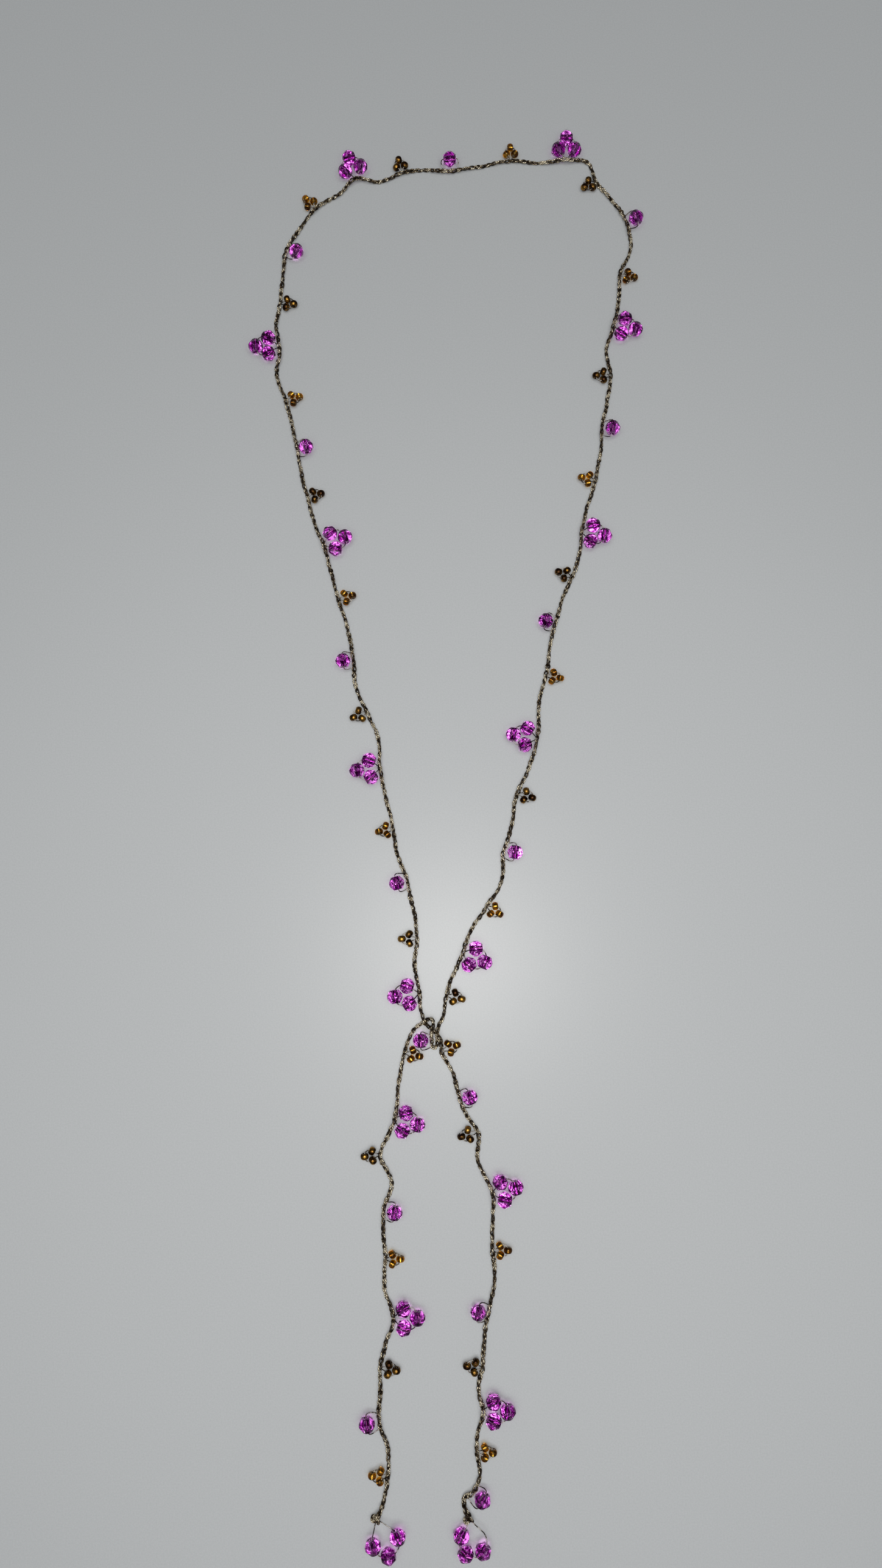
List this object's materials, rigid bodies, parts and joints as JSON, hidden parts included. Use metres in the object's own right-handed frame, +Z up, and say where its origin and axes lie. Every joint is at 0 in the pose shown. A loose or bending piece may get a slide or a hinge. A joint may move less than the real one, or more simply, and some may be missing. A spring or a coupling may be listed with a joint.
{
  "type": "crocheted lariat necklace with faceted violet glass beads and amber and bronze seed beads",
  "caption": "Open-ended crocheted metallic cord with picots of faceted violet beads and small amber and bronze seed beads, laid flat and tied in a loose half knot.",
  "frame": {"origin": "on the surface that it lies on, under the middle of its overall box", "axes": "+Z up from the surface, +Y from the tails to the top of the neck loop, +X to the picture's right"},
  "size_m": [0.1054, 0.3628, 0.0038],
  "materials": {
    "cord": "metallic crochet yarn, champagne",
    "violet_glass": "polished facets",
    "amber_glass": "polished, silver lined",
    "bronze_glass": "polished, bronze lustre",
    "thread": "bare metallic thread"
  },
  "bodies": {
    "root": {"right_strand": "cord", "left_strand": "cord", "left_end_knot": "cord", "right_end_knot": "cord", "bead_cluster_01": "violet_glass", "bead_cluster_02": "violet_glass", "bead_cluster_03": "violet_glass", "bead_cluster_04": "violet_glass", "bead_cluster_05": "violet_glass", "bead_cluster_06": "violet_glass", "bead_cluster_07": "violet_glass", "bead_cluster_08": "violet_glass", "bead_cluster_09": "violet_glass", "bead_cluster_10": "violet_glass", "bead_cluster_11": "violet_glass", "bead_cluster_12": "violet_glass", "bead_cluster_13": "violet_glass", "bead_cluster_14": "violet_glass", "bead_cluster_15": "violet_glass", "bead_cluster_16": "violet_glass", "single_bead_01": "violet_glass", "single_bead_02": "violet_glass", "single_bead_03": "violet_glass", "single_bead_04": "violet_glass", "single_bead_05": "violet_glass", "single_bead_06": "violet_glass", "single_bead_07": "violet_glass", "single_bead_08": "violet_glass", "single_bead_09": "violet_glass", "single_bead_10": "violet_glass", "single_bead_11": "violet_glass", "single_bead_12": "violet_glass", "single_bead_13": "violet_glass", "single_bead_14": "violet_glass", "single_bead_15": "violet_glass", "amber_seed_beads": "amber_glass", "bronze_seed_beads": "bronze_glass", "picot_threads": "thread"}
  },
  "joints": []
}
